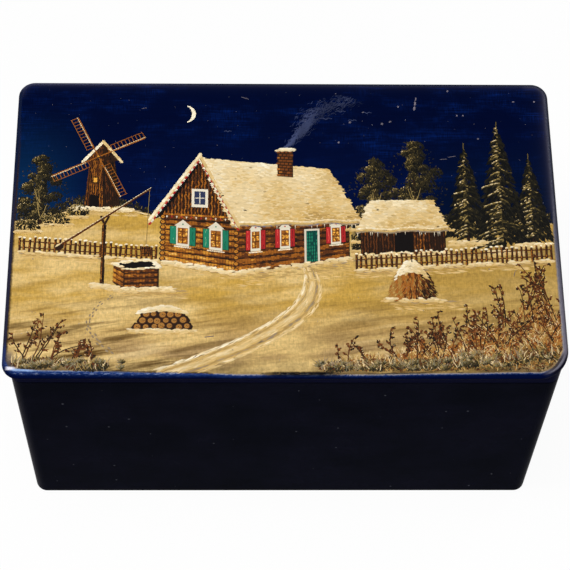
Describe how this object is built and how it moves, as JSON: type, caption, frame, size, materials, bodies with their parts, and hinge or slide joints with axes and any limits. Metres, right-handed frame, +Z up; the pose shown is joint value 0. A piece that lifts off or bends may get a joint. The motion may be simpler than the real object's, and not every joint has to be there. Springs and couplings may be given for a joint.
{
  "type": "hinged lacquer box",
  "caption": "Rectangular papier-mache box in dark blue lacquer, with a flat painted lid on a shallow frame that swings open on a knuckle hinge sunk along the back.",
  "frame": {"origin": "middle of the box's footprint on the plane that it stands on, with the lid's overhang counted", "axes": "+X along the width, to the right as seen from the front; +Y towards the hinged back; +Z up"},
  "size_m": [0.18, 0.111, 0.1015],
  "materials": {
    "blue_lacquer": "gloss",
    "bottom_lacquer": "satin",
    "red_lacquer": "gloss",
    "painted_lid": "gloss",
    "hinge_brass": "satin",
    "pin_steel": "satin"
  },
  "bodies": {
    "box": {"body_wall": "blue_lacquer", "bottom_board": "bottom_lacquer", "front_lining": "red_lacquer", "right_lining": "red_lacquer", "back_lining": "red_lacquer", "left_lining": "red_lacquer", "hinge_pin": "pin_steel", "body_knuckle_1": "hinge_brass", "body_knuckle_2": "hinge_brass", "body_knuckle_3": "hinge_brass", "body_knuckle_4": "hinge_brass", "body_knuckle_5": "hinge_brass"},
    "lid": {"lid_frame": "blue_lacquer", "lid_board": "painted_lid", "lid_knuckle_1": "hinge_brass", "lid_knuckle_2": "hinge_brass", "lid_knuckle_3": "hinge_brass", "lid_knuckle_4": "hinge_brass"}
  },
  "joints": [
    {"name": "lid_hinge", "type": "hinge", "parent": "box", "child": "lid", "pos_m": [0, 0.05165, 0.093], "axis": [-1, 0, 0], "range_deg": [0, 100]}
  ]
}
